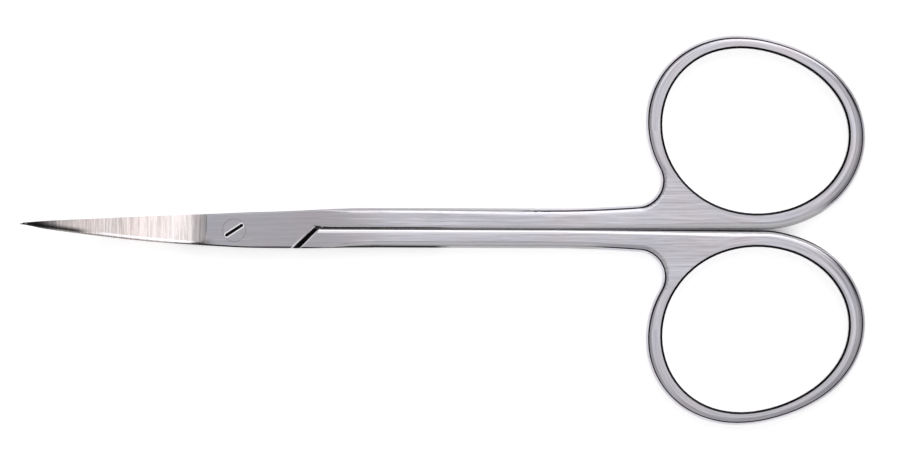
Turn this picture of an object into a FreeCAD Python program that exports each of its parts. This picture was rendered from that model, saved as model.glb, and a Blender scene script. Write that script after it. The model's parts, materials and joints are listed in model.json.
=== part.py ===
"""Dissecting scissors with curved blades: two lapped steel halves on a slotted pivot screw.

The closed pair lies flat. The origin is on the pivot axis in the plane of the underside,
+X runs to the finger rings, +Y to the ring of the near half, which is the upper one at the
joint, and +Z to the head of the screw. Each half is drawn in a frame of its own, with its
outer face up and its ring to +Y. The near half's own frame is the part's frame. The far half
is turned over about the X axis, through the middle of the joint, to reach its place.
"""
import FreeCAD, Part
import math
import os

V = FreeCAD.Vector

# Joint, shared by both halves
lap_thickness = 1.5            # each half where it laps the other
face_clearance = 0.02          # taken off each half's inner face
joint_edge_round = 0.18        # outer edges of the joint
lap_end_x = 8.1                # where the lap's end leaves the lower edge
lap_end_angle = 43.5           # slope of the lap's end and of the wall it closes against
lap_end_gap = 0.45             # between the lap's end and that wall, when closed
wall_bevel = 0.2               # along the outer edge of that wall

# Closed blades seen from above: share of the blade's length, then the upper and the lower
# edge as shares of its width. The last station lies behind the pivot.
blade_length = 28.9
blade_width = 4.91
blade_stations = (
    (1.00, 0.208, 0.167),
    (0.88, 0.259, 0.033),
    (0.67, 0.318, -0.134),
    (0.40, 0.389, -0.314),
    (0.11, 0.452, -0.438),
    (-0.12, 0.505, -0.495),
)
near_blade_short = 0.3         # the near blade stops this far behind the far tip
spine_setback_tip = 0.25       # each spine lies inside the other blade's cutting edge
spine_setback_root = 0.04
spine_setback_limit = 0.4      # share of the blade's width that the setback never passes
tip_edge_slope = 0.10          # of both edges of the blade at its tip, in plan
pivot_edge_slope = 0.02

# Blade section and curve
blade_lift = 5.5               # tip above the joint plane
curve_start_x = -5.0
edge_thickness = 0.12
grind_angle = 14.5             # outer face, falling from the spine to the cutting edge
shoulder_x = -3.7              # end of the ground face on the joint's flat
shoulder_rise_length = 3.0     # the ground face turns up over this length before the shoulder
shoulder_rise = 0.42
shoulder_corner_radius = 1.15  # of the shoulder's outline beside the spine
shoulder_rim = 0.2             # left standing between that corner and the spine
cove_radius = 0.8              # at the foot of the shoulder and along the spine
cove_setback = 0.45            # the cove's wall passes this far outside the spine
cove_turn_x = -7.4             # from here the wall turns in to the shoulder's corner
cove_run_out = 0.3             # sideways run of the cove's wall past the tip

# Shanks
near_shank_width = 2.74
far_shank_width = 2.58
shank_start_x = 20.0
shank_gap = 0.12
gap_y = 0.26                   # middle of the gap where the shanks start
gap_slope = 0.0038             # its fall towards the rings
neck_start_x = 43.0
neck_x = 56.0
near_neck_rise = 0.50
far_neck_rise = 0.55
neck_end_steepness = 1.9       # slope where the neck meets the rim, against its mean slope
neck_fillet = 3.4
shank_round = 0.95             # outer edges of shank and ring
round_start_x = 4.0            # the joint's small rounding grows to it from here
gap_edge_round = 0.38

# Finger rings: r = mean (1 + oval cos 2(a - oval_angle) + egg cos 3(a - egg_angle))
ring_thickness = 2.6
taper_start_x = 15.0           # from the joint's thickness to the ring's
hole_radius = 11.92
hole_oval = 0.0734
hole_oval_angle = -16.0
hole_egg = 0.0172
hole_egg_angle = 3.0
hole_edge_break = 0.31         # width of the bevel round the hole, seen from above
hole_edge_depth = 0.245
ring_width = 2.08              # mean width of the band
ring_after_neck = 0.9          # from the neck's end to the rim's mean circle
ring_sink = 0.62               # the rim's mean circle passes this far below the gap
rim_offset_x = 0.1
rim_offset_y = -0.12
rim_oval = 0.0786
rim_oval_angle = -18.0
rim_egg = 0.0136
rim_egg_angle = 13.0
tail_angle = -65.0             # from here the rim runs out into the shank's inner edge
neck_to_tail_angle = 30.0      # the neck meets the rim at least this far from its tail
ring_stretches = 8             # each drawn as two arcs
tail_reach = 1.2               # the run out ends this far past the middle of the hole

# Pivot screw
screw_shank_radius = 1.0
screw_head_radius = 1.55
screw_head_rim = 0.15
bore_clearance = 0.05          # near half, turning on the screw
thread_clearance = 0.03        # far half, held by the screw
head_clearance = 0.03
slot_length = 2.87
slot_width = 0.42
slot_depth = 0.45
slot_angle = 32.9

# Derived sizes
rim_radius = hole_radius + ring_width
ring_x = neck_x + ring_after_neck + rim_radius - rim_offset_x
ring_y = rim_radius - ring_sink - rim_offset_y
joint_thickness = 2 * lap_thickness
ring_face_z = lap_thickness + ring_thickness / 2
slope = math.tan(math.radians(grind_angle))
lap_tan = math.tan(math.radians(lap_end_angle))
curve_reach = blade_length + curve_start_x
curve_radius = (curve_reach ** 2 + blade_lift ** 2) / (2 * blade_lift)
blade_root_x = curve_start_x - 4.0  # joint's straight block ends here
root_overlap = 1.0             # blade and joint bodies share this length
tall = 12.0                    # more than any height of the blade
far_out = 120.0                # past every edge of the part
past = 3.0                     # how far a cutting tool reaches past the tip
same = 0.02                    # two points closer than this are the same


def spline(points, start=None, end=None):
    """Open curve through the points, with its end directions where they are given."""
    curve = Part.BSplineCurve()
    if start is None:
        curve.interpolate(Points=points)
    else:
        curve.interpolate(Points=points, InitialTangent=start.normalize(),
                          FinalTangent=end.normalize(), Scale=False)
    return curve.toShape()


def line(a, b):
    return Part.LineSegment(a, b).toShape()


def tangent_arc(start, direction, end):
    """Arc that leaves start along a direction and ends at end."""
    chord = end - start
    side = V(-chord.y, chord.x, 0)
    turn = math.atan2(direction.dot(side), direction.dot(chord))
    middle = (start + end) * 0.5 + side * (math.tan(turn / 2) / 2)
    return Part.Arc(start, middle, end).toShape()


def smooth_arcs(points, directions):
    """Chain of arcs through the points, two to each stretch, that runs along the directions."""
    arcs = []
    directions = [V(d).normalize() for d in directions]
    for a, b, da, db in zip(points, points[1:], directions, directions[1:]):
        chord = b - a
        both = da + db
        bend = 2 * (1 - da.dot(db))
        root = math.sqrt(chord.dot(both) ** 2 + bend * chord.dot(chord))
        reach = chord.dot(chord) / (chord.dot(both) + root)
        joint = (a + da * reach + b - db * reach) * 0.5
        arcs += [tangent_arc(a, da, joint), tangent_arc(b, db * -1, joint)]
    return arcs


def prism(edges, bottom, top):
    """Solid standing on a closed outline drawn at height 0."""
    face = Part.Face(Part.Wire(Part.__sortEdges__(edges)))
    solid = face.extrude(V(0, 0, top - bottom))
    solid.translate(V(0, 0, bottom))
    return solid


def block(x0, x1, y0, y1, z0, z1):
    return Part.makeBox(x1 - x0, y1 - y0, z1 - z0, V(x0, y0, z0))


def polar_point(angle, centre_x, centre_y, mean, oval, oval_angle, egg, egg_angle):
    """Point of a ring outline at an angle in degrees."""
    radius = mean * (1 + oval * math.cos(2 * math.radians(angle - oval_angle))
                     + egg * math.cos(3 * math.radians(angle - egg_angle)))
    turn = math.radians(angle)
    return V(centre_x + radius * math.cos(turn), centre_y + radius * math.sin(turn), 0)


def rim_point(angle):
    return polar_point(angle, ring_x + rim_offset_x, ring_y + rim_offset_y, rim_radius,
                       rim_oval, rim_oval_angle, rim_egg, rim_egg_angle)


def hole_point(angle):
    return polar_point(angle, ring_x, ring_y, hole_radius, hole_oval, hole_oval_angle,
                       hole_egg, hole_egg_angle)


def ring_direction(point, angle):
    """Direction in which a ring outline runs at an angle, for a growing angle."""
    step = 0.01
    return (point(angle + step) - point(angle - step)).normalize()


def ring_arcs(point, start, end, stretches):
    """Arcs along a ring outline between two angles."""
    sense = 1 if end > start else -1
    angles = stations(start, end, stretches + 1)
    return smooth_arcs([point(a) for a in angles],
                       [ring_direction(point, a) * sense for a in angles])


def stations(start, end, count):
    return [start + (end - start) * i / (count - 1) for i in range(count)]


def bisect(function, low, high):
    """Angle between low and high at which the function changes sign."""
    for _ in range(50):
        middle = (low + high) / 2
        if (function(low) > 0) == (function(middle) > 0):
            low = middle
        else:
            high = middle
    return (low + high) / 2


def hole_prism():
    """Finger hole, cut right through."""
    edges = ring_arcs(hole_point, 0, 360, ring_stretches)
    return prism(edges, -tall, 2 * tall)


class Half:
    """Values in which the two halves differ, in each half's own frame."""

    def __init__(self, near):
        self.near = near
        self.bend = 1 if near else -1
        self.shank_width = near_shank_width if near else far_shank_width
        self.neck_rise = near_neck_rise if near else far_neck_rise
        self.tip_x = -blade_length + (near_blade_short if near else 0)
        self.gap_rise = -gap_slope * self.bend

    def gap_edge(self, x):
        """Height of the shank's inner edge at x."""
        middle = gap_y - gap_slope * (x - shank_start_x)
        return middle * self.bend + shank_gap / 2

    def edge_and_spine(self, share, upper, lower):
        """Cutting edge and spine at one blade station."""
        upper, lower = upper * blade_width, lower * blade_width
        setback = spine_setback_root + (spine_setback_tip - spine_setback_root) * max(share, 0)
        setback = min(setback, spine_setback_limit * (upper - lower))
        if self.near:
            return upper, lower + setback
        return -lower, -(upper - setback)

    def blade_side(self, x, side):
        """Cutting edge (side 0) or spine (side 1) at x, straight between the stations."""
        rows = [(-station[0] * blade_length, self.edge_and_spine(*station)[side])
                for station in blade_stations]
        for (x0, y0), (x1, y1) in zip(rows, rows[1:]):
            if x <= x1:
                break
        return y0 + (y1 - y0) * (x - x0) / (x1 - x0)

    def inner_face(self, x):
        """Height of the inner face, flat at the joint and curved along the blade."""
        reach = max(curve_start_x - x, 0)
        lift = curve_radius - math.sqrt(curve_radius ** 2 - reach ** 2)
        return lap_thickness + self.bend * lift


def blade_arcs(points):
    """Edge of a blade from its tip to the pivot, bent evenly at each station."""
    chords = [b - a for a, b in zip(points, points[1:])]
    middle = [a.normalize() + b.normalize() for a, b in zip(chords, chords[1:])]
    return smooth_arcs(points, [V(1, tip_edge_slope, 0)] + middle + [V(1, pivot_edge_slope, 0)])


def outline(half):
    """Closed outline of a half, from the tip round the ring and back."""
    edge_points = []
    spine_points = []
    for station in blade_stations:
        edge_y, spine_y = half.edge_and_spine(*station)
        x = half.tip_x if station[0] == 1 else -station[0] * blade_length
        edge_points.append(V(x, edge_y, 0))
        spine_points.append(V(x, spine_y, 0))
    pivot_edge = edge_points[-1]
    pivot_spine = spine_points[-1]

    # Outer side: joint, shank, flare of the neck, up to the rim
    shank_start = V(shank_start_x, half.gap_edge(shank_start_x) + half.shank_width, 0)
    neck_start = V(neck_start_x, half.gap_edge(neck_start_x) + half.shank_width, 0)
    neck_end = V(neck_x, neck_start.y + half.neck_rise, 0)
    along_shank = V(1, half.gap_rise, 0)
    neck_slope = V(1, neck_end_steepness * half.neck_rise / (neck_x - neck_start_x), 0)
    neck_angle = bisect(
        lambda a: rim_point(a).y - neck_end.y - neck_slope.y * (rim_point(a).x - neck_x),
        180, 360 + tail_angle - neck_to_tail_angle)
    rim_start = rim_point(neck_angle)

    # Inner side: the rim's tail runs into the shank's inner edge
    along_gap = V(-1, -half.gap_rise, 0)
    tail_end_x = ring_x + tail_reach
    tail_end = V(tail_end_x, half.gap_edge(tail_end_x), 0)
    corner_x = lap_end_x
    for _ in range(20):
        corner_x = lap_end_x + (half.gap_edge(corner_x) - pivot_spine.y) / lap_tan
    corner = V(corner_x, half.gap_edge(corner_x), 0)
    lap_corner = V(lap_end_x, pivot_spine.y, 0)

    return [
        *blade_arcs(edge_points),
        *smooth_arcs([pivot_edge, shank_start], [V(1, pivot_edge_slope, 0), along_shank]),
        line(shank_start, neck_start),
        *smooth_arcs([neck_start, neck_end], [along_shank, neck_slope]),
        line(neck_end, rim_start),
        *ring_arcs(rim_point, neck_angle, tail_angle, ring_stretches),
        *smooth_arcs([rim_point(tail_angle), tail_end],
                     [ring_direction(rim_point, tail_angle) * -1, along_gap]),
        line(tail_end, corner),
        line(corner, lap_corner),
        line(lap_corner, pivot_spine),
        *blade_arcs(spine_points),
        line(spine_points[0], edge_points[0]),
    ]


def position(edge, share):
    """Point of an edge at a share of its parameter range."""
    return edge.valueAt(edge.FirstParameter + (edge.LastParameter - edge.FirstParameter) * share)


def round_edges(shape, pick):
    """Shape with its edges rounded: pick gives an edge's first and last radius, or None."""
    document = FreeCAD.newDocument()
    base = document.addObject("Part::Feature")
    base.Shape = shape
    rounded = document.addObject("Part::Fillet")
    rounded.Base = base
    rows = []
    for index, edge in enumerate(shape.Edges, 1):
        radii = pick(edge)
        if radii is not None:
            rows.append((index, radii[0], radii[1]))
    rounded.Edges = rows
    document.recompute()
    result = rounded.Shape.copy()
    FreeCAD.closeDocument(document.Name)
    return result


def face_z(x):
    """Height of the upper face of joint, shank and ring at x."""
    share = min(max((x - taper_start_x) / (neck_start_x - taper_start_x), 0), 1)
    return joint_thickness + (ring_face_z - joint_thickness) * share


def side_profile():
    """Joint, shank and ring seen from the side, as a solid across the whole part."""
    upper = [V(x, 0, face_z(x)) for x in (-far_out, taper_start_x, neck_start_x, far_out)]
    lower = [V(p.x, 0, joint_thickness - p.z) for p in reversed(upper)]
    face = Part.Face(Part.makePolygon(upper + lower + upper[:1]))
    return face.extrude(V(0, 2 * far_out, 0)).translated(V(0, -far_out, 0))


def flat_body(half):
    """Joint, shank and ring with rounded edges, before the blade and the lap are cut."""
    body = prism(outline(half), 0, joint_thickness)
    neck_corners = [edge for edge in body.Edges
                    if edge.BoundBox.ZLength > lap_thickness
                    and neck_x < edge.CenterOfMass.x < ring_x
                    and edge.CenterOfMass.y > half.gap_edge(neck_x) + lap_thickness]
    body = body.makeFillet(neck_fillet, neck_corners)
    body = body.cut(hole_prism())
    body = body.cut(block(-far_out, blade_root_x, -far_out, far_out, -tall, tall))
    body = body.common(side_profile())
    body = round_edges(body, lambda edge: outline_radii(half, edge))
    upper = body.common(block(-far_out, far_out, -far_out, far_out, lap_thickness, tall))
    hole_edges = [edge for edge in upper.Edges if on_hole(edge)]
    upper = upper.makeChamfer(hole_edge_break, hole_edge_depth, hole_edges)
    lower = upper.mirror(V(0, 0, lap_thickness), V(0, 0, 1))
    return upper.fuse(lower).removeSplitter()


def on_hole(edge):
    """Whether an edge lies on the ring's upper face, round the finger hole."""
    point = position(edge, 0.5)
    from_ring = V(point.x - ring_x, point.y - ring_y, 0)
    turn = math.degrees(math.atan2(from_ring.y, from_ring.x))
    hole = hole_point(turn) - V(ring_x, ring_y, 0)
    on_wall = abs(from_ring.Length - hole.Length) < shank_gap
    return on_wall and abs(point.z - ring_face_z) < same and edge.BoundBox.ZLength < same


def radius_at(half, point):
    """Radius of the rounded edge at a point of the outline."""
    if abs(point.y - half.gap_edge(point.x)) < shank_gap:
        return gap_edge_round
    if point.y < half.gap_edge(point.x):
        return joint_edge_round
    share = (point.x - round_start_x) / (shank_start_x - round_start_x)
    return joint_edge_round + (shank_round - joint_edge_round) * min(max(share, 0), 1)


def outline_radii(half, edge):
    """First and last radius of an upper edge of the outline, or None for any other edge."""
    middle = position(edge, 0.5)
    level = abs(middle.z - face_z(middle.x)) < same
    if not level or edge.BoundBox.XLength < same or on_hole(edge):
        return None
    return [round(radius_at(half, position(edge, share)), 3) for share in (0, 1)]


def blade_prism(half):
    """Blade as a tall block of its outline, to be cut by its inner and its ground face."""
    body = prism(outline(half), -tall, tall)
    return body.common(block(-far_out, blade_root_x + root_overlap, -far_out, far_out, -tall, tall))


def ground_z(half, x):
    """Height of the ground outer face above y = 0."""
    into_rise = max(x - shoulder_x + shoulder_rise_length, 0) / shoulder_rise_length
    return (half.inner_face(x) + edge_thickness + half.blade_side(x, 0) * slope
            + shoulder_rise * into_rise ** 2)


def above_ground_face(half):
    """All that the grinding takes off, as far as the ground face alone limits it."""
    past_shoulder = shoulder_x + root_overlap
    curve = spline([V(x, 0, ground_z(half, x))
                    for x in stations(-blade_length - past, past_shoulder, 16)])
    left, right = position(curve, 0), position(curve, 1)
    roof = [V(right.x, 0, 2 * tall), V(left.x, 0, 2 * tall)]
    sides = [line(right, roof[0]), line(roof[0], roof[1]), line(roof[1], left)]
    face = Part.Face(Part.Wire(Part.__sortEdges__([curve] + sides)))
    depth = V(0, tall, -tall * slope)
    return face.translated(depth * -1).extrude(depth * 2)


def grinding_tool(half):
    """What is ground off the blade's outer face, with the cove that the wheel leaves."""
    spine = []
    for x in [-share * blade_length for share, _, _ in blade_stations[1:4]] + [cove_turn_x]:
        spine.append(V(x, half.blade_side(x, 1) - cove_setback, 0))
    past_tip = V(-blade_length - past / 2, half.blade_side(-blade_length, 1) - cove_setback
                 + cove_run_out * half.bend, 0)
    foot = V(shoulder_x, half.blade_side(shoulder_x, 1) + shoulder_rim, 0)
    wall_top = V(shoulder_x, tall, 0)
    far_corner = V(past_tip.x, tall, 0)
    plan = prism([spline([past_tip] + spine + [foot]), line(foot, wall_top),
                  line(wall_top, far_corner), line(far_corner, past_tip)], -tall, tall)
    corner = [edge for edge in plan.Edges
              if edge.BoundBox.ZLength > tall and (edge.CenterOfMass - foot).Length < same]
    plan = plan.makeFillet(shoulder_corner_radius, corner)
    tool = plan.common(above_ground_face(half))
    foot_edges = []
    for edge in tool.Edges:
        middle = position(edge, 0.5)
        level = ground_z(half, middle.x) - middle.y * slope
        on_top_line = middle.y > tall / 2
        if abs(middle.z - level) < same and not on_top_line and middle.x > past_tip.x + same:
            foot_edges.append(edge)
    return tool.makeFillet(cove_radius, foot_edges)


def lap_tool(half):
    """What is milled off the inner side, from the blade to the wall at the shank."""
    past_tip = -blade_length - past
    tip_slope = (half.inner_face(past_tip + same) - half.inner_face(past_tip)) / same
    curve = spline([V(x, 0, half.inner_face(x) + face_clearance)
                    for x in stations(past_tip, curve_start_x, 12)],
                   V(1, 0, tip_slope), V(1, 0, 0))
    left, start = position(curve, 0), position(curve, 1)
    end = V(far_out, 0, start.z)
    floor = [V(far_out, 0, -2 * tall), V(left.x, 0, -2 * tall)]
    sides = [line(start, end), line(end, floor[0]), line(floor[0], floor[1]), line(floor[1], left)]
    face = Part.Face(Part.Wire(Part.__sortEdges__([curve] + sides)))
    below = face.extrude(V(0, 2 * tall, 0)).translated(V(0, -tall, 0))
    wall = [wall_point(half, -tall), wall_point(half, tall)]
    left_of_wall = prism([line(wall[0], wall[1]),
                          line(wall[1], V(-far_out, tall, 0)),
                          line(V(-far_out, tall, 0), V(-far_out, -tall, 0)),
                          line(V(-far_out, -tall, 0), wall[0])], -3 * tall, 3 * tall)
    return below.common(left_of_wall).fuse(wall_bevel_tool(half))


def wall_point(half, y):
    """Point of the wall that the other half's lap end closes against."""
    other = Half(not half.near)
    start_y = -other.edge_and_spine(*blade_stations[-1])[1]
    start_x = lap_end_x + lap_end_gap / math.sin(math.radians(lap_end_angle))
    return V(start_x + (start_y - y) / lap_tan, y, 0)


def wall_bevel_tool(half):
    """Three-sided bar along the outer edge of the wall."""
    low, high = wall_point(half, -tall), wall_point(half, tall)
    along = high - low
    into_wall = V(along.y, -along.x, 0).normalize()
    reach = wall_bevel + lap_end_gap / 2
    corners = [low - into_wall * (lap_end_gap / 2) - V(0, 0, lap_end_gap / 2),
               low + into_wall * reach - V(0, 0, lap_end_gap / 2),
               low - into_wall * (lap_end_gap / 2) + V(0, 0, reach)]
    return Part.Face(Part.makePolygon(corners + corners[:1])).extrude(along)


def steel_half(half):
    """One half of the scissors, without its hole for the screw."""
    body = flat_body(half).fuse(blade_prism(half))
    body = body.cut(grinding_tool(half))
    body = body.cut(lap_tool(half))
    return body.removeSplitter()


def screw_profile(gap):
    """Half section of the screw, or of its seat when a gap is given."""
    rim_z = joint_thickness - screw_head_rim
    grow = gap * math.sqrt(2)
    shank = screw_shank_radius + (bore_clearance if gap else 0)
    head = screw_head_radius + gap
    low = -root_overlap if gap else 0
    high = joint_thickness + (root_overlap if gap else 0)
    corners = [(0, low), (shank, low), (shank, rim_z - (screw_head_radius + grow - shank)),
               (head, rim_z - (screw_head_radius + grow - head)), (head, high), (0, high)]
    points = [V(x, 0, z) for x, z in corners]
    face = Part.Face(Part.makePolygon(points + points[:1]))
    return face.revolve(V(0, 0, 0), V(0, 0, 1), 360)


def screwdriver_slot():
    """Milled slot with round ends, from above the head down to its floor."""
    straight = slot_length - slot_width
    floor = joint_thickness - slot_depth
    tool = block(-straight / 2, straight / 2, -slot_width / 2, slot_width / 2, floor, tall)
    for x in (-straight / 2, straight / 2):
        tool = tool.fuse(Part.makeCylinder(slot_width / 2, tall - floor, V(x, 0, floor)))
    tool = tool.removeSplitter()
    tool.rotate(V(0, 0, 0), V(0, 0, 1), slot_angle)
    return tool


def make_near_half():
    return steel_half(Half(True)).cut(screw_profile(head_clearance))


def make_far_half():
    body = steel_half(Half(False))
    body.rotate(V(0, 0, lap_thickness), V(1, 0, 0), 180)
    thread = Part.makeCylinder(screw_shank_radius + thread_clearance, 2 * tall, V(0, 0, -tall))
    return body.cut(thread)


def make_pivot_screw():
    return screw_profile(0).cut(screwdriver_slot())


def main():
    os.makedirs("parts", exist_ok=True)
    makers = {"near_half": make_near_half, "far_half": make_far_half,
              "pivot_screw": make_pivot_screw}
    for name, maker in makers.items():
        solid = maker().Solids[0]
        solid.exportStep("parts/" + name + ".step")
        print(name, "valid", solid.isValid(), "volume", round(solid.Volume, 1))


if __name__ == "__main__":
    main()
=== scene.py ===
"""Dissecting scissors in satin and brushed steel, on a white studio floor seen from above.

The two halves and the pivot screw are the CAD pieces. This file gives them their ground,
brushed and polished finishes with painted shade, dark reflections and highlights on their
edges, grooves and blades, and sets up the floor, the lamp, the world and the camera.
Lengths are in metres. +X runs to the finger rings, +Y to the ring of the near half.
"""
import json
import math

import bpy
from bpy.props import FloatProperty, FloatVectorProperty, PointerProperty
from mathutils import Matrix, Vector

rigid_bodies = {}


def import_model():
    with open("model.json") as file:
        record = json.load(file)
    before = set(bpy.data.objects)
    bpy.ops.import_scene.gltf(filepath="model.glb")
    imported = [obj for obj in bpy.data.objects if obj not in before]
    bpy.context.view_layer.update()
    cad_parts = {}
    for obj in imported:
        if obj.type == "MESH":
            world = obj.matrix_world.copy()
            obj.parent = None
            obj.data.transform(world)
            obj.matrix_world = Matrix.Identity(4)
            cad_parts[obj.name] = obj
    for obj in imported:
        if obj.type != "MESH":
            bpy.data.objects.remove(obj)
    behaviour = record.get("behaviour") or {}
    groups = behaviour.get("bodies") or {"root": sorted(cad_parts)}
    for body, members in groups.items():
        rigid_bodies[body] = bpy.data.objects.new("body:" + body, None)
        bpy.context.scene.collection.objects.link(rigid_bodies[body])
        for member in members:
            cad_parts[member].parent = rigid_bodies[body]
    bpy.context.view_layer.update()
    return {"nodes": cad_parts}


bl_info = {
    "name": "Dissecting scissors",
    "version": (1, 0, 0),
    "blender": (4, 5, 0),
    "location": "3D View > Sidebar > Scissors",
    "description": "Finishes, floor, lamp and camera for a pair of curved dissecting scissors",
    "category": "Object",
}

for leftover in list(bpy.data.objects):
    bpy.data.objects.remove(leftover)
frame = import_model()

RING_X = 0.0708
RING_Y = 0.0135
RING_RADIUS = 0.0130
HOLE_RADIUS = 0.01192
HOLE_OVAL = 0.0734
HOLE_OVAL_TURN = math.radians(32.0)
HOLE_EGG = 0.0172
HOLE_EGG_TURN = math.radians(-9.0)
SHOULDER_X = -0.0037
LAP_FACE_Z = {1: 0.00165, -1: 0.00135}
OUTER_SIDE_END = {1: 0.0400, -1: 0.0495}
BLADE_LENGTH = 0.0289
SPINE_CURVE = {1: (-0.00226, 0.00135, 0.00188), -1: (-0.00227, 0.00107, 0.00032)}
GAP_Y = 0.0003
GAP_LINE = (0.00030, -0.0038)  # y at x = 0, and slope
LAP_END = (0.0081, -0.00239)
LAP_END_ANGLE = math.radians(43.5)
LAP_END_GAP = 0.00045
SLOT_ANGLE = math.radians(32.9)
SLOT_HALF_STRAIGHT = 0.001225
SLOT_HALF_WIDTH = 0.00021
SCREW_TOP_Z = 0.003
MID_Z = 0.0015
CORNER_EDGE = (-0.00577, -0.00181, -0.1245)  # x and y of a point, and slope

# How steep a face is, as a part of its normal: where a mask starts and is full
NOT_A_WALL = (0.10, 0.25)
NOT_LEVEL = (0.985, 0.93)
COVE_LEAN = (-0.12, -0.35)
LEANS_TO_LIGHT = (0.35, 0.60)
LEANS_AWAY = (-0.12, -0.30)
STEEP_TO_LIGHT = (0.68, 0.78)
STEEP_AWAY = (-0.90, -0.96)
LIP_LEVEL = (0.3, 0.6)

# Round the ring, measured from the hole's edge unless x or y is named
CLEAR_OF_GAP_Y = (0.0055, 0.0085)
PAST_NECK_X = (0.0640, 0.0700)
RIGHT_OF_RING_X = (0.0770, 0.0825)
RING_OUTSIDE = (0.0036, 0.0024)
RIDGE = ((0.0004, 0.0007), (0.0012, 0.0009))
OUTER_RIDGE = ((0.00110, 0.00130), (0.00168, 0.00155))
HOLLOW = (0.0009, 0.0011)
# Painted light and shade on the ring's right side
RIDGE_LIGHT = 0.28
OUTER_RIDGE_LIGHT = 0.22
RIGHT_SIDE_LIGHT = 0.82
HOLLOW_SHADE = 0.20

# Along the blade in x, and across it from the spine
GRIND_STRETCH = 0.05
COVE_X = (-0.0062, -0.0054)
TIP_LINE_X = (-0.0188, -0.0218)
ROOT_LINE_X = (-0.0105, -0.0062)
RIM_X = (-0.0076, -0.0066)
CORNER_X = (-0.0022, -0.0054)
BESIDE_SPINE_X = (-0.0190, -0.0175)
SHOULDER_SHADE_X = (-0.0064, -0.0046)
TIP_SHADE_X = (-0.0226, -0.0270)
# Across the blade: the painted dark spine lines, the painted dark corner at the root and the
# painted highlight beside the spine
SOFT_LINE = (0.00085, 0.00015)
THIN_LINE = (0.00016, 0.00006)
RIM_HEIGHT = (0.00134, 0.00142)
CORNER_WIDTH = (0.00120, 0.00020)
BESIDE_SPINE = ((0.00014, 0.00020), (0.00048, 0.00036))
# Strengths of the painted dark spine lines, and of the painted shade towards the shoulder and the
# tip
SOFT_LINE_STRENGTH = 0.92
THIN_LINE_STRENGTH = 0.45
SHOULDER_SHADE = 0.76
TIP_SHADE = 0.08

# Along the joint and the shanks
BY_GAP_Y = (0.0042, 0.0024)
GAP_START_X = (0.0100, 0.0106)
SHANK_START_X = (0.0095, 0.0135)
JOINT_START_X = (-0.0085, -0.0065)
LOW_SIDE_END_X = (0.0300, 0.0270)
JOINT_SHADE_X = (0.028, 0.008)
OUTER_SIDE_FADE = (0.002, -0.002)
OUTER_SIDE_STRENGTH = 0.85
LOW_SIDE_SHIFT = 0.60
# Painted highlight band on the far half beside the gap
BAND = ((0.00010, 0.00020), (0.00068, 0.00056))

# Shades and finishes
# JOINT_SHADE is painted shade on the joint; the other shades are tones of the brush lines
JOINT_SHADE = 0.66
LINE_SHADES = (0.72, 1.23)
JOINT_LINE_SHADE = 0.98
JOINT_EVENNESS = 0.6
SCRATCH_STRENGTHS = (0.45, 0.12)
SCREW_SHADES = (0.60, 0.72)
GRAIN = 0.04
DARK_ROUGHNESS = 0.6
BUMP_STRENGTH = 0.5
BRUSH_LENGTH = 0.006
SCREW_BRUSH_LENGTH = 0.004

# Floor, world and lamp
FLOOR_Z = -0.00005
FLOOR_GLOW = 0.62
FLOOR_GLOW_MIRRORED = 0.45
GAP_REACH = 0.006
GAP_OPENNESS = (0.05, 0.35)
STUDIO_LEVEL = 0.47
SOFT_BOX_LEVEL = 1.1
FLAG_DIRECTION = (0.72, 0.42, 0.55)
FLAG_EDGE = (0.960, 1.0)
DARK_LEVEL = 0.02
LAMP_PLACE = (-0.1, 0.4, 1.5)
LAMP_TARGET = (0.03, 0.0, 0.0)
LAMP_SIZE = 1.0
LAMP_POWER = 2.0


class SteelSettings(bpy.types.PropertyGroup):
    """Colours and finishes of the steel."""

    steel_colour: FloatVectorProperty(
        name="Steel", description="Colour of the satin steel", subtype="COLOR",
        size=3, min=0.0, max=1.0, default=(0.73, 0.71, 0.77))
    blade_colour: FloatVectorProperty(
        name="Ground steel", description="Colour of the ground blades", subtype="COLOR",
        size=3, min=0.0, max=1.0, default=(0.73, 0.665, 0.66))
    # Painted light: pale colour of the cove's steep face, in place of its dark reflection
    cove_colour: FloatVectorProperty(
        name="Cove", description="Colour of the cove at the shoulder", subtype="COLOR",
        size=3, min=0.0, max=1.0, default=(0.74, 0.71, 0.73))
    # Painted shade: colour of the dark grooves, the slot and the dark lines on edges and spines,
    # standing in for shade and dark reflections
    painted_shade_colour: FloatVectorProperty(
        name="Painted shade", description="Colour of the dark grooves, slots and lines",
        subtype="COLOR", size=3, min=0.0, max=1.0, default=(0.012, 0.012, 0.013))
    # Colour of the real bright scratches, and of the painted highlights on edges, lips and bands
    scratch_and_highlight_colour: FloatVectorProperty(
        name="Scratch and highlight", description="Colour of the bright edges and lips", subtype="COLOR",
        size=3, min=0.0, max=1.0, default=(0.96, 0.94, 0.98))
    roughness: FloatProperty(
        name="Roughness", description="Roughness of the brushed faces", default=0.30,
        min=0.0, max=1.0, subtype="FACTOR")
    edge_roughness: FloatProperty(
        name="Edge roughness", description="Roughness of the polished edges", default=0.09,
        min=0.0, max=1.0, subtype="FACTOR")
    ground_roughness: FloatProperty(
        name="Ground roughness", description="Roughness of the ground blades", default=0.26,
        min=0.0, max=1.0, subtype="FACTOR")
    flat_metallic: FloatProperty(
        name="Metallic", description="Metallic share of the flat faces, the rest scatters",
        default=0.88, min=0.0, max=1.0, subtype="FACTOR")
    brush_width: FloatProperty(
        name="Brush width", description="Distance between brush lines", default=0.00016,
        min=0.00001, max=0.001, unit="LENGTH")
    brush_depth: FloatProperty(
        name="Brush depth", description="Depth of the brush lines", default=0.000004,
        min=0.0, max=0.0001, unit="LENGTH")
    grind_width: FloatProperty(
        name="Grinding width", description="Distance between the grinding lines of the blades",
        default=0.00022, min=0.00001, max=0.002, unit="LENGTH")


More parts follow.
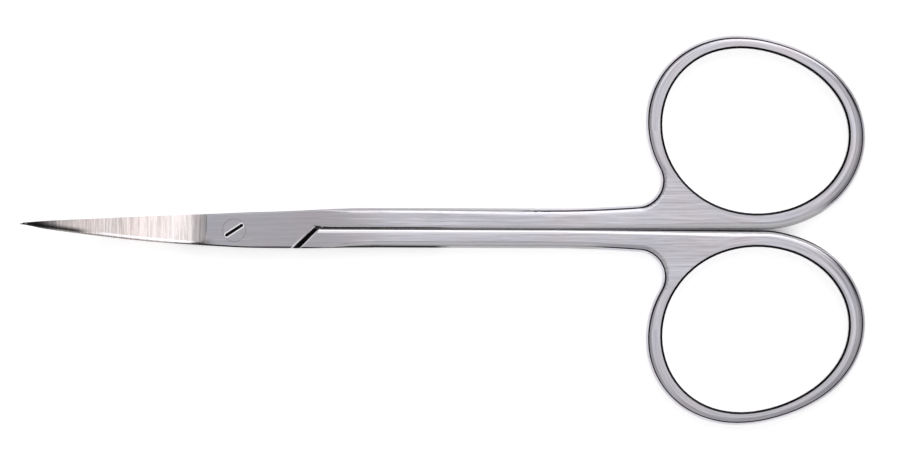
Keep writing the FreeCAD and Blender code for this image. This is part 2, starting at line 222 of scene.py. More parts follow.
class StageSettings(bpy.types.PropertyGroup):
    """Camera and floor."""

    view_width: FloatProperty(
        name="View width", description="Width that the picture takes in", default=0.12263,
        min=0.01, max=1.0, unit="LENGTH")
    view_centre: FloatVectorProperty(
        name="View centre", description="Point that the camera looks down on", size=3,
        default=(0.02939, 0.00064, 0.002), subtype="XYZ", unit="LENGTH")
    camera_height: FloatProperty(
        name="Camera height", description="Height of the camera above that point", default=1.0,
        min=0.1, max=10.0, unit="LENGTH")
    floor_colour: FloatVectorProperty(
        name="Floor", description="Colour of the floor", subtype="COLOR", size=3,
        min=0.0, max=1.0, default=(0.9, 0.9, 0.9))
    floor_size: FloatProperty(
        name="Floor size", description="Side of the floor", default=6.0, min=0.5, max=50.0,
        unit="LENGTH")


def empty_tree(owner):
    """Node tree of a material or a world, without its first nodes."""
    owner.use_nodes = True
    owner.node_tree.nodes.clear()
    return owner.node_tree


def fill_sockets(tree, node, links):
    """Links or sets input sockets of a node."""
    for name, value in links.items():
        socket = node.inputs[name]
        if isinstance(value, bpy.types.NodeSocket):
            tree.links.new(value, socket)
        else:
            socket.default_value = value


def add_node(tree, kind, links=None, **settings):
    """New node with its settings made, and its sockets linked or set."""
    made = tree.nodes.new(kind)
    for name, value in settings.items():
        setattr(made, name, value)
    fill_sockets(tree, made, links or {})
    return made


def math_node(tree, operation, *values, clamp=False):
    made = add_node(tree, "ShaderNodeMath", dict(enumerate(values)), operation=operation)
    made.use_clamp = clamp
    return made.outputs[0]


def smooth_step(tree, value, low, high, start=0.0, end=1.0):
    links = {"Value": value, "From Min": low, "From Max": high, "To Min": start, "To Max": end}
    return add_node(tree, "ShaderNodeMapRange", links,
                    interpolation_type="SMOOTHSTEP").outputs[0]


def between(tree, value, rise, fall):
    """Mask that rises over one range of a value and falls over another."""
    return math_node(tree, "MULTIPLY", smooth_step(tree, value, *rise),
                     smooth_step(tree, value, *fall))


def mix_values(tree, share, a, b):
    links = {0: share, 2: a, 3: b}
    return add_node(tree, "ShaderNodeMix", links, data_type="FLOAT").outputs[0]


def mix_colours(tree, share, a, b, blend="MIX"):
    links = {0: share, 6: a, 7: b}
    return add_node(tree, "ShaderNodeMix", links, data_type="RGBA",
                    blend_type=blend).outputs[2]


def new_group(name, inputs, outputs):
    """Shader node group with float, colour or vector sockets."""
    tree = bpy.data.node_groups.new(name, "ShaderNodeTree")
    for label, kind in inputs:
        tree.interface.new_socket(label, in_out="INPUT", socket_type=kind)
    for label, kind in outputs:
        tree.interface.new_socket(label, in_out="OUTPUT", socket_type=kind)
    start = tree.nodes.new("NodeGroupInput")
    end = tree.nodes.new("NodeGroupOutput")
    return tree, start.outputs, end.inputs


def put_group(tree, group, links):
    made = tree.nodes.new("ShaderNodeGroup")
    made.node_tree = group
    fill_sockets(tree, made, links)
    return made.outputs


def brush_group():
    """Fine parallel lines along the first axis of a pattern, with a few longer scratches."""
    tree, given, made = new_group(
        "Brush lines",
        [("Pattern", "NodeSocketVector"), ("Length", "NodeSocketFloat"),
         ("Width", "NodeSocketFloat")],
        [("Lines", "NodeSocketFloat"), ("Scratches", "NodeSocketFloat")])
    along = math_node(tree, "DIVIDE", 1.0, given["Length"])
    across = math_node(tree, "DIVIDE", 1.0, given["Width"])
    stretch = add_node(tree, "ShaderNodeCombineXYZ", {0: along, 1: across, 2: across})
    fine = add_node(tree, "ShaderNodeVectorMath", {0: given["Pattern"], 1: stretch.outputs[0]},
                    operation="MULTIPLY")
    lines = add_node(tree, "ShaderNodeTexNoise",
                     {"Vector": fine.outputs[0], "Scale": 1.0, "Detail": 3.0,
                      "Roughness": 0.65})
    coarse = add_node(tree, "ShaderNodeVectorMath", {0: fine.outputs[0], "Scale": 0.31},
                      operation="SCALE")
    bands = add_node(tree, "ShaderNodeTexNoise",
                     {"Vector": coarse.outputs[0], "Scale": 1.0, "Detail": 2.0})
    both = mix_values(tree, 0.4, lines.outputs["Fac"], bands.outputs["Fac"])
    long_axis = add_node(tree, "ShaderNodeVectorMath",
                         {0: fine.outputs[0], 1: (0.9, 0.45, 0.45)}, operation="MULTIPLY")
    rare = add_node(tree, "ShaderNodeTexNoise",
                    {"Vector": long_axis.outputs[0], "Scale": 1.0, "Detail": 0.0})
    scratches = smooth_step(tree, rare.outputs["Fac"], 0.70, 0.80)
    tree.links.new(both, made["Lines"])
    tree.links.new(scratches, made["Scratches"])
    return tree


def ring_pattern_group():
    """Coordinates round the finger ring, the ring's place and its shading on the right."""
    tree, given, made = new_group(
        "Round the ring",
        [("Point", "NodeSocketVector"), ("Ring side", "NodeSocketFloat")],
        [("Pattern", "NodeSocketVector"), ("Ring", "NodeSocketFloat"),
         ("Shade", "NodeSocketFloat")])
    x, y, z = add_node(tree, "ShaderNodeSeparateXYZ", {0: given["Point"]}).outputs
    across = math_node(tree, "SUBTRACT", math_node(tree, "MULTIPLY", y, given["Ring side"]),
                       RING_Y)
    along = math_node(tree, "SUBTRACT", x, RING_X)
    reach = math_node(tree, "SQRT", math_node(
        tree, "ADD", math_node(tree, "MULTIPLY", along, along),
        math_node(tree, "MULTIPLY", across, across)))
    turn = math_node(tree, "ARCTAN2", across, along)
    oval = math_node(tree, "COSINE", math_node(tree, "MULTIPLY_ADD", turn, 2.0, HOLE_OVAL_TURN))
    egg = math_node(tree, "COSINE", math_node(tree, "MULTIPLY_ADD", turn, 3.0, HOLE_EGG_TURN))
    hole = math_node(tree, "MULTIPLY_ADD", oval, HOLE_RADIUS * HOLE_OVAL, math_node(
        tree, "MULTIPLY_ADD", egg, HOLE_RADIUS * HOLE_EGG, HOLE_RADIUS))
    from_hole = math_node(tree, "SUBTRACT", reach, hole)
    round_ring = add_node(tree, "ShaderNodeCombineXYZ",
                          {0: math_node(tree, "MULTIPLY", turn, RING_RADIUS), 1: from_hole,
                           2: z})
    clear_of_gap = smooth_step(tree, math_node(tree, "ABSOLUTE", y), *CLEAR_OF_GAP_Y)
    past_neck = smooth_step(tree, x, *PAST_NECK_X)
    ring = math_node(tree, "MULTIPLY", smooth_step(tree, from_hole, *RING_OUTSIDE),
                     math_node(tree, "MAXIMUM", clear_of_gap, past_neck))
    # Painted light and shade across the ring's right side: bright ridges and a dark hollow stand
    # in for its rounded section
    ridge = between(tree, from_hole, *RIDGE)
    hollow = smooth_step(tree, from_hole, *HOLLOW, 0.0, HOLLOW_SHADE)
    outer_ridge = between(tree, from_hole, *OUTER_RIDGE)
    ridges = math_node(tree, "MULTIPLY_ADD", ridge, RIDGE_LIGHT, math_node(
        tree, "MULTIPLY_ADD", outer_ridge, OUTER_RIDGE_LIGHT, RIGHT_SIDE_LIGHT))
    rounded = math_node(tree, "SUBTRACT", ridges, hollow)
    on_right = math_node(tree, "MULTIPLY", ring, smooth_step(tree, x, *RIGHT_OF_RING_X))
    tree.links.new(round_ring.outputs[0], made["Pattern"])
    tree.links.new(ring, made["Ring"])
    tree.links.new(mix_values(tree, on_right, 1.0, rounded), made["Shade"])
    return tree


def grind_group():
    """Cross lines of the grinding wheel on the blade, masks of the blade's parts, and the painted
    shade, dark lines and highlights on it.
    """
    tree, given, made = new_group(
        "Ground blade",
        [("Point", "NodeSocketVector"), ("Normal", "NodeSocketVector"),
         ("Width", "NodeSocketFloat"), ("Ring side", "NodeSocketFloat"),
         ("Spine root", "NodeSocketFloat"), ("Spine slope", "NodeSocketFloat"),
         ("Spine bend", "NodeSocketFloat")],
        [("Lines", "NodeSocketFloat"), ("Blade", "NodeSocketFloat"), ("Shade", "NodeSocketFloat"),
         ("Cove", "NodeSocketFloat"), ("Spine", "NodeSocketFloat"),
         ("Beside spine", "NodeSocketFloat")])
    x, y, z = add_node(tree, "ShaderNodeSeparateXYZ", {0: given["Point"]}).outputs
    across = math_node(tree, "DIVIDE", 1.0, given["Width"])
    along = math_node(tree, "MULTIPLY", across, GRIND_STRETCH)
    stretch = add_node(tree, "ShaderNodeCombineXYZ", {0: across, 1: along, 2: along})
    scaled = add_node(tree, "ShaderNodeVectorMath", {0: given["Point"], 1: stretch.outputs[0]},
                      operation="MULTIPLY")
    lines = add_node(tree, "ShaderNodeTexNoise",
                     {"Vector": scaled.outputs[0], "Scale": 1.0, "Detail": 4.0,
                      "Roughness": 0.6})
    blade = smooth_step(tree, x, SHOULDER_X + 0.0001, SHOULDER_X - 0.0002)
    lean, _, rise = add_node(tree, "ShaderNodeSeparateXYZ", {0: given["Normal"]}).outputs
    facing = smooth_step(tree, math_node(tree, "MULTIPLY", rise, given["Ring side"]),
                         *NOT_A_WALL)
    # Where the cove's face turns towards the tip; the steel material paints light there
    cove = math_node(tree, "MULTIPLY", smooth_step(tree, lean, *COVE_LEAN),
                     smooth_step(tree, x, *COVE_X))
    share = math_node(tree, "DIVIDE", x, -BLADE_LENGTH)
    spine_y = math_node(tree, "MULTIPLY_ADD", share, math_node(
        tree, "MULTIPLY_ADD", share, given["Spine bend"], given["Spine slope"]),
        given["Spine root"])
    own_y = math_node(tree, "MULTIPLY", y, given["Ring side"])
    inside = math_node(tree, "SUBTRACT", own_y, spine_y)
    near_tip = smooth_step(tree, x, *TIP_LINE_X)
    # Painted dark reflection: a soft dark line near the tip and a thin one along the spine
    soft = math_node(tree, "MULTIPLY",
                     smooth_step(tree, inside, *SOFT_LINE, 0.0, SOFT_LINE_STRENGTH), near_tip)
    near_root = smooth_step(tree, x, *ROOT_LINE_X, THIN_LINE_STRENGTH, 1.0)
    thin = math_node(tree, "MULTIPLY", smooth_step(tree, inside, *THIN_LINE), near_root)
    height = math_node(tree, "MULTIPLY", math_node(tree, "SUBTRACT", z, MID_Z),
                       given["Ring side"])
    edge_x, edge_y, edge_slope = CORNER_EDGE
    edge = math_node(tree, "MULTIPLY_ADD", math_node(tree, "SUBTRACT", x, edge_x),
                     edge_slope, edge_y)
    from_edge = math_node(tree, "SUBTRACT", own_y, edge)
    rim = math_node(tree, "MULTIPLY", smooth_step(tree, x, *RIM_X),
                    smooth_step(tree, height, *RIM_HEIGHT))
    # Painted dark corner wedge at the blade's root, beside the rim
    corner = math_node(tree, "MULTIPLY", math_node(
        tree, "MULTIPLY", rim, smooth_step(tree, x, *CORNER_X)),
        smooth_step(tree, from_edge, *CORNER_WIDTH))
    spine = math_node(tree, "MULTIPLY", math_node(
        tree, "MULTIPLY", math_node(tree, "MAXIMUM", soft, thin), blade), facing)
    # Painted highlight: a bright band just inside the spine
    beside = math_node(tree, "MULTIPLY", between(tree, inside, *BESIDE_SPINE), facing)
    beside = math_node(tree, "MULTIPLY", beside, math_node(
        tree, "MULTIPLY", math_node(tree, "SUBTRACT", blade, rim, clamp=True),
        smooth_step(tree, x, *BESIDE_SPINE_X)))
    # Painted shade: the blade darkens towards the shoulder and towards the tip, in place of their
    # dark reflections
    towards_shoulder = smooth_step(tree, x, *SHOULDER_SHADE_X, 1.0, SHOULDER_SHADE)
    tip = smooth_step(tree, x, *TIP_SHADE_X, 1.0, TIP_SHADE)
    tree.links.new(lines.outputs["Fac"], made["Lines"])
    tree.links.new(blade, made["Blade"])
    tree.links.new(math_node(tree, "MULTIPLY", towards_shoulder, tip), made["Shade"])
    tree.links.new(math_node(tree, "MULTIPLY", cove, blade), made["Cove"])
    tree.links.new(math_node(tree, "MAXIMUM", spine, corner), made["Spine"])
    tree.links.new(beside, made["Beside spine"])
    return tree


def edge_group():
    """Masks of what leans away from level, and of the edges where dark reflections, shade and
    highlights are painted.
    """
    tree, given, made = new_group(
        "Leaning faces",
        [("Normal", "NodeSocketVector"), ("Point", "NodeSocketVector"),
         ("Ring side", "NodeSocketFloat"), ("Outer side end", "NodeSocketFloat")],
        [("Edge", "NodeSocketFloat"), ("Dark edge", "NodeSocketFloat"),
         ("Pale edge", "NodeSocketFloat"), ("Bright band", "NodeSocketFloat")])
    _, lean, rise = add_node(tree, "ShaderNodeSeparateXYZ", {0: given["Normal"]}).outputs
    x, y, _ = add_node(tree, "ShaderNodeSeparateXYZ", {0: given["Point"]}).outputs
    level = math_node(tree, "ABSOLUTE", rise)
    not_wall = smooth_step(tree, level, *NOT_A_WALL)
    from_gap = math_node(tree, "MULTIPLY", lean, given["Ring side"])
    leaning = math_node(tree, "MAXIMUM", smooth_step(tree, lean, *LEANS_TO_LIGHT),
                        smooth_step(tree, lean, *LEANS_AWAY))
    by_gap = math_node(
        tree, "MULTIPLY", smooth_step(tree, math_node(tree, "ABSOLUTE", y), *BY_GAP_Y),
        smooth_step(tree, x, *GAP_START_X))
    past_end = math_node(tree, "SUBTRACT", x, given["Outer side end"])
    outside = math_node(
        tree, "MULTIPLY",
        smooth_step(tree, past_end, *OUTER_SIDE_FADE, 0.0, OUTER_SIDE_STRENGTH),
        smooth_step(tree, x, *SHANK_START_X))
    to_gap = smooth_step(tree, from_gap, 0.05, -0.05)
    # Painted highlight on edges that lean towards the gap, or outwards on the shanks
    pale = math_node(tree, "MULTIPLY", leaning, mix_values(tree, to_gap, outside, by_gap))
    # Painted dark reflection along the low side of the joint, and painted shade on the steep faces
    # by the gap
    along_joint = between(tree, x, JOINT_START_X, LOW_SIDE_END_X)
    shift = smooth_step(tree, x, *SHANK_START_X, 0.0, LOW_SIDE_SHIFT)
    steeper = math_node(tree, "ADD", lean, shift)
    low_side = math_node(tree, "MULTIPLY", smooth_step(tree, steeper, 0.0, -0.15), along_joint)
    steep = math_node(tree, "MAXIMUM", smooth_step(tree, lean, *STEEP_TO_LIGHT),
                      smooth_step(tree, lean, *STEEP_AWAY))
    gap_side = math_node(tree, "MULTIPLY", math_node(tree, "MULTIPLY", steep, to_gap), by_gap)
    # Painted highlight: a bright band on the far half beside the gap
    line_y, line_slope = GAP_LINE
    from_line = math_node(tree, "MULTIPLY", given["Ring side"], math_node(
        tree, "SUBTRACT", y, math_node(tree, "MULTIPLY_ADD", x, line_slope, line_y)))
    on_far_half = smooth_step(tree, given["Ring side"], 0.5, -0.5)
    band = math_node(tree, "MULTIPLY", math_node(tree, "MULTIPLY", by_gap, on_far_half),
                     between(tree, from_line, *BAND))
    tree.links.new(smooth_step(tree, level, *NOT_LEVEL), made["Edge"])
    tree.links.new(math_node(tree, "MULTIPLY", math_node(
        tree, "MAXIMUM", low_side, gap_side), not_wall), made["Dark edge"])
    tree.links.new(math_node(tree, "MULTIPLY", pale, not_wall), made["Pale edge"])
    tree.links.new(math_node(tree, "MULTIPLY", band, not_wall), made["Bright band"])
    return tree


def lap_group():
    """Painted shade in the groove at the lap's end, painted highlights on its lips, and the
    joint's place on the half.
    """
    tree, given, made = new_group(
        "Lap end",
        [("Point", "NodeSocketVector"), ("Normal", "NodeSocketVector"),
         ("Lap face", "NodeSocketFloat")],
        [("Groove", "NodeSocketFloat"), ("Lips", "NodeSocketFloat"),
         ("Joint", "NodeSocketFloat")])
    x, y, z = add_node(tree, "ShaderNodeSeparateXYZ", {0: given["Point"]}).outputs
    face = math_node(tree, "SIGN", math_node(tree, "SUBTRACT", z, given["Lap face"]))
    side = math_node(tree, "MULTIPLY", y, face)
    forward = math_node(tree, "MULTIPLY", math_node(tree, "SUBTRACT", x, LAP_END[0]),
                        math.sin(LAP_END_ANGLE))
    down = math_node(tree, "MULTIPLY", math_node(tree, "SUBTRACT", side, LAP_END[1]),
                     -math.cos(LAP_END_ANGLE))
    reach = math_node(tree, "ADD", forward, down)
    below_gap = smooth_step(tree, side, GAP_Y + 0.0003, GAP_Y + 0.0002)
    # Painted shade in the groove between the halves at the lap's end
    groove = math_node(tree, "MULTIPLY", smooth_step(tree, reach, -0.00007, -0.00001),
                       smooth_step(tree, reach, LAP_END_GAP + 0.00006, LAP_END_GAP))
    # Painted highlights on the groove's two lips
    near_lip = math_node(tree, "MULTIPLY", smooth_step(tree, reach, -0.00034, -0.00026),
                         smooth_step(tree, reach, -0.00004, -0.00008))
    far_lip = math_node(tree, "MULTIPLY",
                        smooth_step(tree, reach, LAP_END_GAP + 0.00005, LAP_END_GAP + 0.0001),
                        smooth_step(tree, reach, LAP_END_GAP + 0.00028, LAP_END_GAP + 0.00020))
    rise = math_node(tree, "ABSOLUTE", add_node(
        tree, "ShaderNodeSeparateXYZ", {0: given["Normal"]}).outputs[2])
    lips = math_node(tree, "MULTIPLY", math_node(tree, "ADD", near_lip, far_lip),
                     smooth_step(tree, rise, *LIP_LEVEL))
    groove = math_node(tree, "MULTIPLY", groove, smooth_step(tree, rise, *NOT_A_WALL))
    tree.links.new(math_node(tree, "MULTIPLY", groove, below_gap), made["Groove"])
    tree.links.new(math_node(tree, "MULTIPLY", lips, below_gap), made["Lips"])
    tree.links.new(smooth_step(tree, x, *JOINT_SHADE_X), made["Joint"])
    return tree


def slot_group():
    """Painted shade inside the screwdriver slot, and painted highlights on its lips on the head.
    """
    tree, given, made = new_group(
        "Screwdriver slot", [("Point", "NodeSocketVector")],
        [("Slot", "NodeSocketFloat"), ("Lips", "NodeSocketFloat")])
    x, y, z = add_node(tree, "ShaderNodeSeparateXYZ", {0: given["Point"]}).outputs
    cos, sin = math.cos(SLOT_ANGLE), math.sin(SLOT_ANGLE)
    along = math_node(tree, "ADD", math_node(tree, "MULTIPLY", x, cos),
                      math_node(tree, "MULTIPLY", y, sin))
    across = math_node(tree, "SUBTRACT", math_node(tree, "MULTIPLY", y, cos),
                       math_node(tree, "MULTIPLY", x, sin))
    past_end = math_node(tree, "MAXIMUM", math_node(
        tree, "SUBTRACT", math_node(tree, "ABSOLUTE", along), SLOT_HALF_STRAIGHT), 0.0)
    reach = math_node(tree, "SQRT", math_node(
        tree, "ADD", math_node(tree, "MULTIPLY", past_end, past_end),
        math_node(tree, "MULTIPLY", across, across)))
    depth = math_node(tree, "SUBTRACT", SCREW_TOP_Z, z)
    # Painted shade in the slot's recess
    inside = math_node(tree, "MULTIPLY", smooth_step(tree, depth, 0.00001, 0.00005),
                       smooth_step(tree, depth, 0.0010, 0.0007))
    # Painted highlights on the slot's lips
    lips = math_node(tree, "MULTIPLY",
                     smooth_step(tree, reach, SLOT_HALF_WIDTH + 0.00021,
                                 SLOT_HALF_WIDTH + 0.00013),
                     smooth_step(tree, depth, 0.00004, 0.00001))
    tree.links.new(inside, made["Slot"])
    tree.links.new(lips, made["Lips"])
    return tree


def tint_group():
    """Faint warm and cool patches."""
    tree, given, made = new_group(
        "Steel tint", [("Point", "NodeSocketVector"), ("Colour", "NodeSocketColor")],
        [("Colour", "NodeSocketColor")])
    patches = add_node(tree, "ShaderNodeTexNoise",
                       {"Vector": given["Point"], "Scale": 190.0, "Detail": 2.0})
    warm = smooth_step(tree, patches.outputs["Fac"], 0.45, 0.70)
    cool = smooth_step(tree, patches.outputs["Fac"], 0.50, 0.30)
    first = mix_colours(tree, math_node(tree, "MULTIPLY", warm, 0.5), given["Colour"],
                        (1.0, 0.93, 0.90, 1.0), "MULTIPLY")
    second = mix_colours(tree, math_node(tree, "MULTIPLY", cool, 0.5), first,
                         (0.92, 0.95, 1.0, 1.0), "MULTIPLY")
    tree.links.new(second, made["Colour"])
    return tree


def steel_material(name, settings, groups, ring_side):
    """Satin steel of one half, brushed along its shank and round its ring, with painted shade,
    dark reflections and highlights in its colour.
    """
    material = bpy.data.materials.new(name)
    tree = empty_tree(material)
    place = add_node(tree, "ShaderNodeTexCoord").outputs
    point = place["Object"]
    ring = put_group(tree, groups["ring"],
                     {"Point": point, "Ring side": ring_side})
    straight, turned = [
        put_group(tree, groups["brush"],
                  {"Pattern": pattern, "Length": BRUSH_LENGTH, "Width": settings.brush_width})
        for pattern in (point, ring["Pattern"])]
    brushed = mix_values(tree, ring["Ring"], straight["Lines"], turned["Lines"])
    root, slope, bend = SPINE_CURVE[ring_side]
    grind = put_group(tree, groups["grind"],
                      {"Point": point, "Normal": place["Normal"],
                       "Width": settings.grind_width, "Ring side": ring_side,
                       "Spine root": root, "Spine slope": slope, "Spine bend": bend})
    lean = put_group(tree, groups["edge"],
                     {"Normal": place["Normal"], "Point": point, "Ring side": ring_side,
                      "Outer side end": OUTER_SIDE_END[ring_side]})
    lap = put_group(tree, groups["lap"],
                    {"Point": point, "Normal": place["Normal"],
                     "Lap face": LAP_FACE_Z[ring_side]})
    lines = mix_values(tree, grind["Blade"], brushed, grind["Lines"])

    plain = mix_colours(tree, grind["Blade"], (*settings.steel_colour, 1.0),
                        (*settings.blade_colour, 1.0))
    tint = put_group(tree, groups["tint"], {"Point": point, "Colour": plain})
    in_joint = math_node(tree, "MULTIPLY", lap["Joint"],
                         math_node(tree, "SUBTRACT", 1.0, grind["Blade"]))
    # Painted shade: the joint is made darker than the shanks, standing in for its darker
    # reflection
    joint_shade = smooth_step(tree, in_joint, 0.0, 1.0, 1.0, JOINT_SHADE)
    place_shade = math_node(tree, "MULTIPLY", joint_shade,
                            mix_values(tree, grind["Blade"], 1.0, grind["Shade"]))
    line_shade = mix_values(tree, math_node(tree, "MULTIPLY", in_joint, JOINT_EVENNESS),
                            smooth_step(tree, lines, 0.3, 0.7, *LINE_SHADES),
                            JOINT_LINE_SHADE)
    # Brush-line tone times the painted shade of the joint, shoulder and tip, and the painted light
    # and shade on the ring's right side
    shade = math_node(tree, "MULTIPLY", line_shade,
                      math_node(tree, "MULTIPLY", place_shade, ring["Shade"]))
    lined = add_node(tree, "ShaderNodeVectorMath", {0: tint["Colour"], "Scale": shade},
                     operation="SCALE").outputs[0]
    scratches = math_node(tree, "MULTIPLY", mix_values(
        tree, ring["Ring"], straight["Scratches"], turned["Scratches"]),
        smooth_step(tree, in_joint, 0.0, 1.0, *SCRATCH_STRENGTHS))
    scratched = mix_colours(tree, scratches, lined, (*settings.scratch_and_highlight_colour, 1.0))
    steel = mix_colours(tree, grind["Blade"], scratched, lined)
    # Painted light: the cove's steep face gets a pale colour and, below, no metal, in place of its
    # dark reflection
    cove_painted_light = mix_colours(tree, grind["Cove"], steel, (*settings.cove_colour, 1.0))
    # Painted highlight: edges that lean towards the gap, or outwards on the shanks, are made pale
    # and, below, not metallic
    pale = mix_colours(tree, lean["Pale edge"], cove_painted_light, (*settings.scratch_and_highlight_colour, 1.0))
    # Painted shade and painted dark reflections: low edges of the joint, steep faces by the gap,
    # the lap-end groove and the lines along the spine
    painted_dark = math_node(tree, "MAXIMUM", lean["Dark edge"],
                        math_node(tree, "MAXIMUM", lap["Groove"], grind["Spine"]))
    dark = mix_colours(tree, painted_dark, pale, (*settings.painted_shade_colour, 1.0))
    # Painted highlights: a band beside the spine, the lips of the lap-end groove and a band on the
    # far half by the gap
    painted_highlight = math_node(tree, "MAXIMUM", grind["Beside spine"], math_node(
        tree, "MAXIMUM", lap["Lips"], math_node(
            tree, "MULTIPLY", lean["Bright band"],
            math_node(tree, "SUBTRACT", 1.0, painted_dark))))
    colour = mix_colours(tree, painted_highlight, dark, (*settings.scratch_and_highlight_colour, 1.0))

    polished = mix_values(tree, lean["Edge"], settings.roughness, settings.edge_roughness)
    finish = mix_values(tree, grind["Blade"], polished, settings.ground_roughness)
    grained = math_node(tree, "ADD", finish,
                        smooth_step(tree, lines, 0.2, 0.8, -GRAIN, GRAIN))
    roughness = math_node(tree, "MAXIMUM", grained,
                          math_node(tree, "MULTIPLY", painted_dark, DARK_ROUGHNESS))
    # The painted highlight edges and the painted light on the cove are not metallic
    bare = math_node(tree, "SUBTRACT", 1.0,
                     math_node(tree, "MAXIMUM", lean["Pale edge"], grind["Cove"]))
    metallic = math_node(tree, "MULTIPLY", bare,
                         mix_values(tree, lean["Edge"], settings.flat_metallic, 1.0))
    bump = add_node(tree, "ShaderNodeBump",
                    {"Strength": BUMP_STRENGTH, "Distance": settings.brush_depth, "Height": lines})
    surface = add_node(tree, "ShaderNodeBsdfPrincipled",
                       {"Base Color": colour, "Metallic": metallic, "Roughness": roughness,
                        "Normal": bump.outputs[0]})
    add_node(tree, "ShaderNodeOutputMaterial", {"Surface": surface.outputs[0]})
    return material


def screw_material(name, settings, groups):
    """Turned steel of the screw, with painted shade in its slot and painted highlights on the
    slot's lips.
    """
    material = bpy.data.materials.new(name)
    tree = empty_tree(material)
    point = add_node(tree, "ShaderNodeTexCoord").outputs["Object"]
    brush = put_group(tree, groups["brush"],
                      {"Pattern": point, "Length": SCREW_BRUSH_LENGTH,
                       "Width": settings.brush_width})
    slot = put_group(tree, groups["slot"], {"Point": point})
    tint = put_group(tree, groups["tint"],
                     {"Point": point, "Colour": (*settings.steel_colour, 1.0)})
    shade = smooth_step(tree, brush["Lines"], 0.3, 0.7, *SCREW_SHADES)
    lined = add_node(tree, "ShaderNodeVectorMath", {0: tint["Colour"], "Scale": shade},
                     operation="SCALE").outputs[0]
    # Painted shade in the slot, and painted highlights on its lips
    dark = mix_colours(tree, slot["Slot"], lined, (*settings.painted_shade_colour, 1.0))
    colour = mix_colours(tree, slot["Lips"], dark, (*settings.scratch_and_highlight_colour, 1.0))
    roughness = mix_values(tree, slot["Slot"], settings.roughness, DARK_ROUGHNESS)
    bump = add_node(tree, "ShaderNodeBump",
                    {"Strength": BUMP_STRENGTH, "Distance": settings.brush_depth,
                     "Height": brush["Lines"]})
    surface = add_node(tree, "ShaderNodeBsdfPrincipled",
                       {"Base Color": colour, "Metallic": settings.flat_metallic,
                        "Roughness": roughness, "Normal": bump.outputs[0]})
    add_node(tree, "ShaderNodeOutputMaterial", {"Surface": surface.outputs[0]})
    return material


def pattern_groups():
    """Node groups that the steel materials share, made once."""
    if "Brush lines" not in bpy.data.node_groups:
        for maker in (brush_group, ring_pattern_group, grind_group, edge_group, lap_group,
                      slot_group, tint_group):
            maker()
    groups = bpy.data.node_groups
    return {"brush": groups["Brush lines"], "ring": groups["Round the ring"],
            "grind": groups["Ground blade"], "edge": groups["Leaning faces"],
            "lap": groups["Lap end"], "slot": groups["Screwdriver slot"],
            "tint": groups["Steel tint"]}


def cover(node_name, material):
    """Gives a CAD node its material."""
    mesh = frame["nodes"][node_name].data
    mesh.materials.clear()
    mesh.materials.append(material)


class SCISSORS_OT_halves(bpy.types.Operator):
    """Finish the two halves in ground and brushed steel"""

    bl_idname = "scissors.halves"
    bl_label = "Finish the halves"

    def execute(self, context):
        settings = context.scene.scissors_steel
        groups = pattern_groups()
        cover("near_half", steel_material("near_half_steel", settings, groups, 1))
        cover("far_half", steel_material("far_half_steel", settings, groups, -1))
        return {"FINISHED"}


class SCISSORS_OT_pivot_screw(bpy.types.Operator):
    """Finish the pivot screw in turned steel"""

    bl_idname = "scissors.pivot_screw"
    bl_label = "Finish the pivot screw"

    def execute(self, context):
        settings = context.scene.scissors_steel
        cover("pivot_screw", screw_material("screw_steel_turned", settings, pattern_groups()))
        return {"FINISHED"}


def make_floor(settings):
    """White floor that keeps the shadow of the scissors."""
    bpy.ops.mesh.primitive_plane_add(size=settings.floor_size,
                                     location=(settings.view_centre[0], 0.0, FLOOR_Z))
    floor = bpy.context.object
    floor.name = "floor"
    material = bpy.data.materials.new("floor_white")
    tree = empty_tree(material)
    paint = add_node(tree, "ShaderNodeBsdfDiffuse", {"Color": (*settings.floor_colour, 1.0)})
    path = add_node(tree, "ShaderNodeLightPath")
    mirrored = math_node(tree, "MAXIMUM", path.outputs["Is Glossy Ray"],
                         path.outputs["Is Transmission Ray"])
    # Painted shade: the glow that the camera sees is cut by ambient occlusion, so the floor goes
    # dark where the shanks close it in
    open_sky = add_node(tree, "ShaderNodeAmbientOcclusion", {"Distance": GAP_REACH},
                        samples=8).outputs["AO"]
    looked_at = math_node(tree, "MULTIPLY", path.outputs["Is Camera Ray"],
                          smooth_step(tree, open_sky, *GAP_OPENNESS, 0.0, FLOOR_GLOW))
    seen = math_node(tree, "ADD", looked_at,
                     math_node(tree, "MULTIPLY", mirrored, FLOOR_GLOW_MIRRORED))
    glow = add_node(tree, "ShaderNodeEmission",
                    {"Color": (1.0, 1.0, 1.0, 1.0), "Strength": seen})
    total = add_node(tree, "ShaderNodeAddShader", {0: paint.outputs[0], 1: glow.outputs[0]})
    add_node(tree, "ShaderNodeOutputMaterial", {"Surface": total.outputs[0]})
    floor.data.materials.append(material)


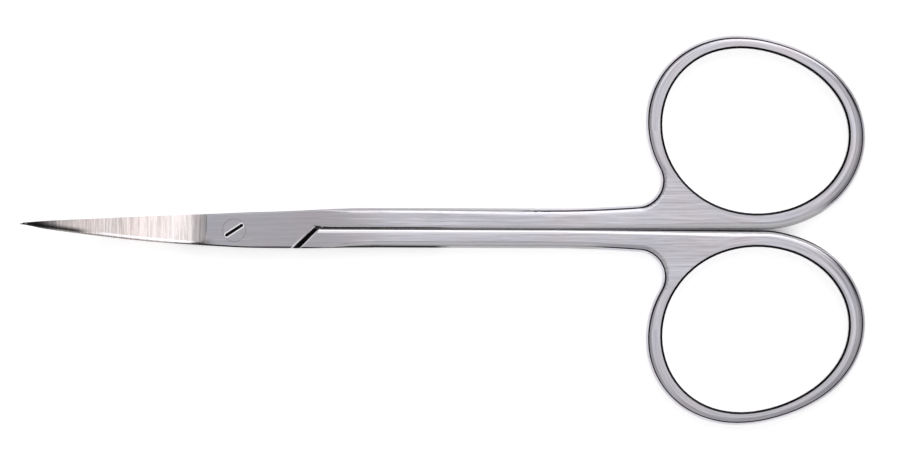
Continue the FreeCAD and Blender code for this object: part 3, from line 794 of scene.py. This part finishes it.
def make_world():
    """Grey studio, white on the +Y side and dark low down, with a dark flag above the rings."""
    world = bpy.data.worlds.new("studio")
    bpy.context.scene.world = world
    tree = empty_tree(world)
    direction = add_node(tree, "ShaderNodeTexCoord").outputs["Generated"]
    x, y, z = add_node(tree, "ShaderNodeSeparateXYZ", {0: direction}).outputs
    soft_box = math_node(tree, "MULTIPLY",
                         smooth_step(tree, y, 0.20, 0.72, 0.0, SOFT_BOX_LEVEL),
                         smooth_step(tree, x, -0.36, 0.0))
    flag_side = add_node(tree, "ShaderNodeVectorMath", {0: direction, 1: FLAG_DIRECTION},
                         operation="DOT_PRODUCT").outputs["Value"]
    flag = smooth_step(tree, flag_side, *FLAG_EDGE, 1.0, DARK_LEVEL)
    far_left = smooth_step(tree, math_node(tree, "SUBTRACT", y, x), 0.5, 1.1, 0.0, 0.14)
    low = smooth_step(tree, math_node(tree, "SUBTRACT", z, far_left), 0.34, 0.50,
                      DARK_LEVEL, 1.0)
    above = math_node(tree, "MULTIPLY", math_node(tree, "ADD", soft_box, STUDIO_LEVEL), flag)
    studio = math_node(tree, "MULTIPLY", above, low)
    seen = add_node(tree, "ShaderNodeLightPath").outputs["Is Camera Ray"]
    strength = mix_values(tree, seen, studio, 1.0)
    glow = add_node(tree, "ShaderNodeBackground", {"Color": (1.0, 1.0, 1.0, 1.0),
                                                   "Strength": strength})
    add_node(tree, "ShaderNodeOutputWorld", {"Surface": glow.outputs[0]})


def make_lamp(name, location, target, size, power):
    """Soft square lamp that points at a target."""
    light = bpy.data.lights.new(name, "AREA")
    light.shape = "SQUARE"
    light.size = size
    light.energy = power
    lamp = bpy.data.objects.new(name, light)
    lamp.location = location
    lamp.rotation_euler = (Vector(target) - Vector(location)).to_track_quat("-Z", "Y").to_euler()
    bpy.context.scene.collection.objects.link(lamp)


def make_camera(settings):
    """Long lens that looks straight down."""
    data = bpy.data.cameras.new("camera")
    data.sensor_width = 36.0
    data.lens = data.sensor_width * settings.camera_height / settings.view_width
    data.clip_start = 0.01
    data.clip_end = 20.0
    camera = bpy.data.objects.new("camera", data)
    camera.location = Vector(settings.view_centre) + Vector((0.0, 0.0, settings.camera_height))
    bpy.context.scene.collection.objects.link(camera)
    bpy.context.scene.camera = camera


class SCISSORS_OT_stage(bpy.types.Operator):
    """Set up the floor, the lamp, the world and the camera"""

    bl_idname = "scissors.stage"
    bl_label = "Set up the stage"

    def execute(self, context):
        settings = context.scene.scissors_stage
        context.scene.view_settings.view_transform = "Standard"
        make_floor(settings)
        make_world()
        make_camera(settings)
        make_lamp("soft_lamp", LAMP_PLACE, LAMP_TARGET, LAMP_SIZE, LAMP_POWER)
        return {"FINISHED"}


class SCISSORS_PT_panel(bpy.types.Panel):
    """Finishes and stage of the dissecting scissors"""

    bl_idname = "SCISSORS_PT_panel"
    bl_label = "Dissecting scissors"
    bl_space_type = "VIEW_3D"
    bl_region_type = "UI"
    bl_category = "Scissors"

    def draw(self, context):
        layout = self.layout
        for settings, operators in (
                (context.scene.scissors_steel, (SCISSORS_OT_halves, SCISSORS_OT_pivot_screw)),
                (context.scene.scissors_stage, (SCISSORS_OT_stage,))):
            box = layout.box()
            for name in settings.bl_rna.properties.keys():
                if name not in ("rna_type", "name"):
                    box.prop(settings, name)
            for operator in operators:
                box.operator(operator.bl_idname)


CLASSES = (SteelSettings, StageSettings, SCISSORS_OT_halves, SCISSORS_OT_pivot_screw,
           SCISSORS_OT_stage, SCISSORS_PT_panel)


def register():
    for made in CLASSES:
        bpy.utils.register_class(made)
    bpy.types.Scene.scissors_steel = PointerProperty(type=SteelSettings)
    bpy.types.Scene.scissors_stage = PointerProperty(type=StageSettings)


def unregister():
    del bpy.types.Scene.scissors_stage
    del bpy.types.Scene.scissors_steel
    for made in reversed(CLASSES):
        bpy.utils.unregister_class(made)


def main():
    register()
    bpy.ops.scissors.halves()
    bpy.ops.scissors.pivot_screw()
    bpy.ops.scissors.stage()


if __name__ == "__main__":
    main()
